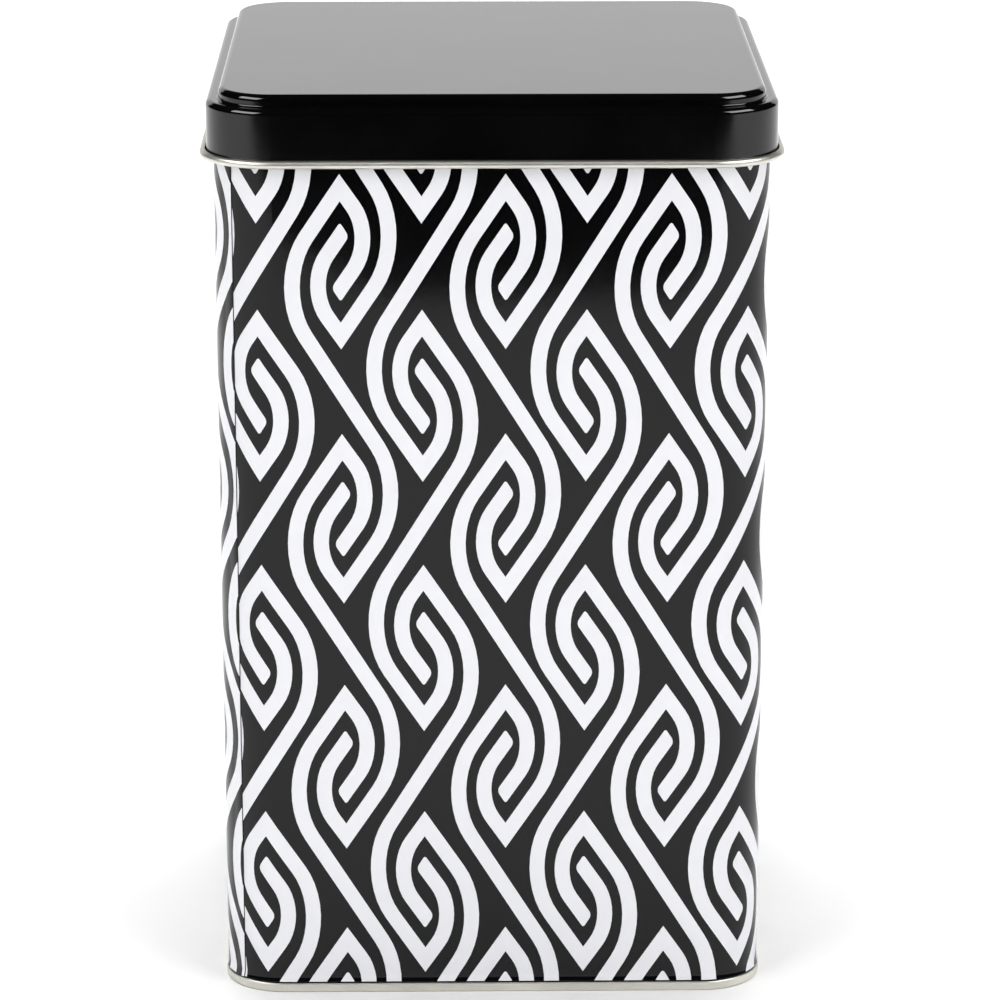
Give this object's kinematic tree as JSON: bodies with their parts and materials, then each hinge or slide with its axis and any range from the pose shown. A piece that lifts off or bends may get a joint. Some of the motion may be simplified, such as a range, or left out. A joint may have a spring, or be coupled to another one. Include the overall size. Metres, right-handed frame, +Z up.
{
  "type": "coffee tin",
  "caption": "Tall square tinplate storage tin with rounded corners, a seamed-on base, a lock-seamed body and a stepped slip lid that lifts off.",
  "frame": {"origin": "middle of the footprint, on the surface the tin stands on", "axes": "+Z up, along the lid's lift; -Y out of the front face; the lock seam is in the front corner on the -X side"},
  "size_m": [0.1154, 0.1154, 0.187],
  "materials": {
    "printed_tinplate": "gloss black and white print on tinplate",
    "bare_tinplate": "bright tinplate",
    "black_lacquer": "gloss black lacquer"
  },
  "bodies": {
    "tin": {"body_shell": "printed_tinplate", "base_plate": "bare_tinplate"},
    "lid": {"lid": "black_lacquer"}
  },
  "joints": [
    {"name": "lid_lift", "type": "slide", "parent": "tin", "child": "lid", "axis": [0, 0, 1], "range_m": [0, 0.05]}
  ]
}
